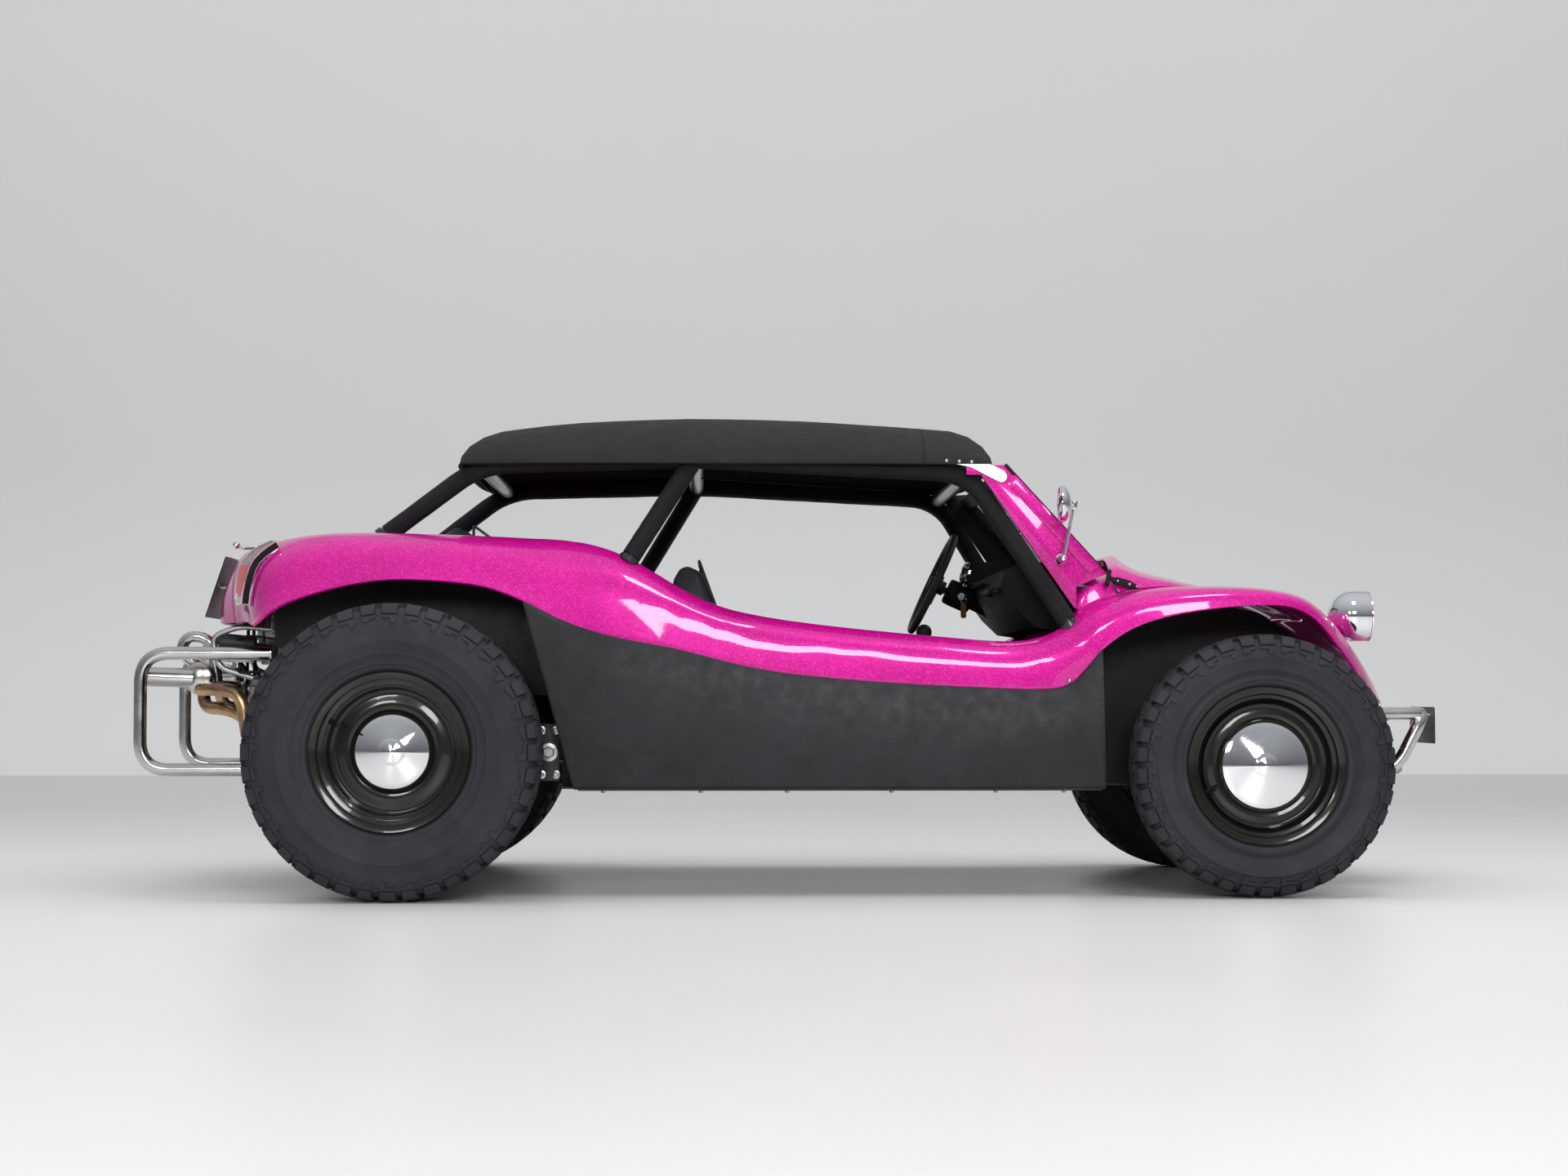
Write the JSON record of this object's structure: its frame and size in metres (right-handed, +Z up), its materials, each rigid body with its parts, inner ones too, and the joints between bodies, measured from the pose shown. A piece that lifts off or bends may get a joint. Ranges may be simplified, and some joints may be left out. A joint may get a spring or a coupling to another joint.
{
  "type": "dune buggy",
  "caption": "Long-wheelbase dune buggy with hard top on a tube cage, rear engine, spinning wheels, steering, opening hood and engine lid.",
  "frame": {"origin": "on the floor, at the centre of the overall bounding box", "axes": "+X forward, +Y to the car's left, +Z up"},
  "size_m": [3.8387, 1.825, 1.385],
  "materials": {
    "flake_paint": "metal-flake gloss lacquer on fibreglass",
    "textured_black": "sprayed textured coating",
    "tub_black": "satin gelcoat",
    "chassis_black": "satin enamel",
    "glass": "clear",
    "roof_vinyl": "matt fine grain",
    "cage_black": "satin powder coat",
    "dash_black": "grained vinyl",
    "wheel_leather": "stitched grip",
    "seat_vinyl": "grained vinyl, piped and stitched",
    "chrome": "polished",
    "red_lens": "moulded lens",
    "black_rubber": "matt",
    "stainless": "polished tube",
    "plate_white": "blank plate",
    "cast_alloy": "as cast",
    "bronze_steel": "heat tinted",
    "cast_steel": "painted casting",
    "tyre": "rubber",
    "rim_enamel": "gloss dark enamel"
  },
  "bodies": {
    "body": {"body_shell": "flake_paint", "left_side_panel": "textured_black", "right_side_panel": "textured_black", "inner_tub": "tub_black", "floorpan": "chassis_black", "windshield_frame": "flake_paint", "windshield_glass": "glass", "roof": "roof_vinyl", "roll_cage": "cage_black", "dashboard": "dash_black", "steering_column": "dash_black", "gear_lever": "dash_black", "driver_seat": "seat_vinyl", "passenger_seat": "seat_vinyl", "rear_seat": "seat_vinyl", "left_headlamp": "chrome", "right_headlamp": "chrome", "tail_lamps": "red_lens", "mirrors": "chrome", "front_bumper": "stainless", "rear_bumper": "stainless", "front_plate": "plate_white", "engine": "cast_alloy", "exhaust": "bronze_steel", "rear_axle": "chassis_black", "front_beam": "chassis_black"},
    "left_knuckle": {"left_knuckle": "cast_steel"},
    "right_knuckle": {"right_knuckle": "cast_steel"},
    "rear_left_wheel": {"rear_left_tyre": "tyre", "rear_left_rim": "rim_enamel", "rear_left_cap": "chrome"},
    "rear_right_wheel": {"rear_right_tyre": "tyre", "rear_right_rim": "rim_enamel", "rear_right_cap": "chrome"},
    "front_left_wheel": {"front_left_tyre": "tyre", "front_left_rim": "rim_enamel", "front_left_cap": "chrome"},
    "front_right_wheel": {"front_right_tyre": "tyre", "front_right_rim": "rim_enamel", "front_right_cap": "chrome"},
    "steering_wheel": {"steering_wheel": "wheel_leather"},
    "hood": {"hood": "flake_paint", "hood_latches": "black_rubber"},
    "engine_lid": {"engine_lid": "flake_paint", "rear_plate": "plate_white"}
  },
  "joints": [
    {"name": "rear_left_spin", "type": "hinge", "parent": "body", "child": "rear_left_wheel", "pos_m": [-1.1207, 0.774, 0.4055], "axis": [0, 1, 0], "continuous": true},
    {"name": "rear_right_spin", "type": "hinge", "parent": "body", "child": "rear_right_wheel", "pos_m": [-1.1207, -0.774, 0.4055], "axis": [0, 1, 0], "continuous": true},
    {"name": "front_left_spin", "type": "hinge", "parent": "left_knuckle", "child": "front_left_wheel", "pos_m": [1.2792, 0.693, 0.365], "axis": [0, 1, 0], "continuous": true},
    {"name": "front_right_spin", "type": "hinge", "parent": "right_knuckle", "child": "front_right_wheel", "pos_m": [1.2792, -0.693, 0.365], "axis": [0, 1, 0], "continuous": true},
    {"name": "left_steer", "type": "hinge", "parent": "body", "child": "left_knuckle", "pos_m": [1.2792, 0.61, 0.365], "axis": [0, 0, 1], "range_deg": [-25, 25]},
    {"name": "right_steer", "type": "hinge", "parent": "body", "child": "right_knuckle", "pos_m": [1.2792, -0.61, 0.365], "axis": [0, 0, 1], "range_deg": [-25, 25]},
    {"name": "steering", "type": "hinge", "parent": "body", "child": "steering_wheel", "pos_m": [0.4462, 0.34, 0.911], "axis": [-0.9063, 0, 0.4226], "range_deg": [-350, 350]},
    {"name": "hood_hinge", "type": "hinge", "parent": "body", "child": "hood", "pos_m": [1.4728, 0, 0.801], "axis": [0, 1, 0], "range_deg": [0, 60]},
    {"name": "engine_lid_hinge", "type": "hinge", "parent": "body", "child": "engine_lid", "pos_m": [-1.6642, 0, 0.9594], "axis": [0, 1, 0], "range_deg": [0, 70]}
  ],
  "couplings": [
    {"joint": "right_steer", "follows": "left_steer", "ratio": 1},
    {"joint": "steering", "follows": "left_steer", "ratio": 14}
  ]
}
